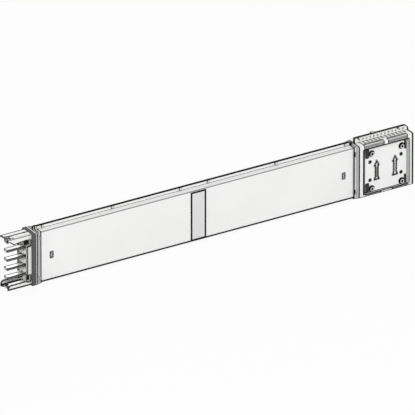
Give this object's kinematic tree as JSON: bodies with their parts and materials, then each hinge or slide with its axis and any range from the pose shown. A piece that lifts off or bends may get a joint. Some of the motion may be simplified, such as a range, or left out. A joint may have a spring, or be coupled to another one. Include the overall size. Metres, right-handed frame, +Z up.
{
  "type": "busbar trunking section",
  "caption": "Straight section of busbar trunking: folded casing with a standing seam, open male end with flat bar fingers, and a joint block with a recessed clamping cover.",
  "frame": {"origin": "centre of the footprint, on the floor", "axes": "+X along the length towards the joint block, front face towards -Y, +Z up"},
  "size_m": [1.2072, 0.054, 0.1655],
  "materials": {
    "casing_paint": "satin powder coat",
    "block_paint": "satin powder coat",
    "cover_paint": "satin powder coat",
    "band_paint": "matt grey",
    "seal_rubber": "matt",
    "joint_seal": "matt",
    "sleeve_paint": "satin powder coat",
    "collar_plastic": "fine grained",
    "insulator_plastic": "moulded",
    "clamp_plastic": "moulded",
    "bar_metal": "tinned",
    "contact_metal": "plated",
    "fastener_steel": "zinc plated"
  },
  "bodies": {
    "root": {"bar_support_joint": "insulator_plastic", "bar_support_male": "insulator_plastic", "bar_support_mid_1": "insulator_plastic", "bar_support_mid_2": "insulator_plastic", "block_cover_front": "cover_paint", "block_cover_rear": "cover_paint", "block_housing_front": "block_paint", "block_housing_rear": "block_paint", "busbar_1": "bar_metal", "busbar_2": "bar_metal", "busbar_3": "bar_metal", "busbar_4": "bar_metal", "busbar_5": "bar_metal", "casing": "casing_paint", "contact_plate_1_lower": "contact_metal", "contact_plate_1_upper": "contact_metal", "contact_plate_2_lower": "contact_metal", "contact_plate_2_upper": "contact_metal", "contact_plate_3_lower": "contact_metal", "contact_plate_3_upper": "contact_metal", "contact_plate_4_lower": "contact_metal", "contact_plate_4_upper": "contact_metal", "contact_plate_5_lower": "contact_metal", "contact_plate_5_upper": "contact_metal", "corner_clamp_1": "clamp_plastic", "corner_clamp_2": "clamp_plastic", "corner_clamp_3": "clamp_plastic", "corner_clamp_4": "clamp_plastic", "cover_bolt_1": "fastener_steel", "cover_bolt_2": "fastener_steel", "cover_bolt_3": "fastener_steel", "cover_bolt_4": "fastener_steel", "cover_nut_1": "fastener_steel", "cover_nut_2": "fastener_steel", "cover_nut_3": "fastener_steel", "cover_nut_4": "fastener_steel", "earth_bar": "bar_metal", "earth_contact": "contact_metal", "end_collar": "collar_plastic", "end_gasket": "seal_rubber", "end_sleeve": "sleeve_paint", "fire_barrier_panel": "band_paint", "fire_barrier_seal": "seal_rubber", "joint_collar": "collar_plastic", "joint_gasket": "joint_seal", "pole_barrier_1": "insulator_plastic", "pole_barrier_2": "insulator_plastic", "pole_barrier_3": "insulator_plastic", "pole_barrier_4": "insulator_plastic", "pole_barrier_5": "insulator_plastic", "pole_barrier_6": "insulator_plastic", "rib_cap": "collar_plastic", "seam_fastener_1": "fastener_steel", "seam_fastener_2": "fastener_steel", "seam_fastener_3": "fastener_steel", "seam_fastener_4": "fastener_steel", "seam_fastener_5": "fastener_steel", "seam_fastener_6": "fastener_steel"}
  },
  "joints": []
}
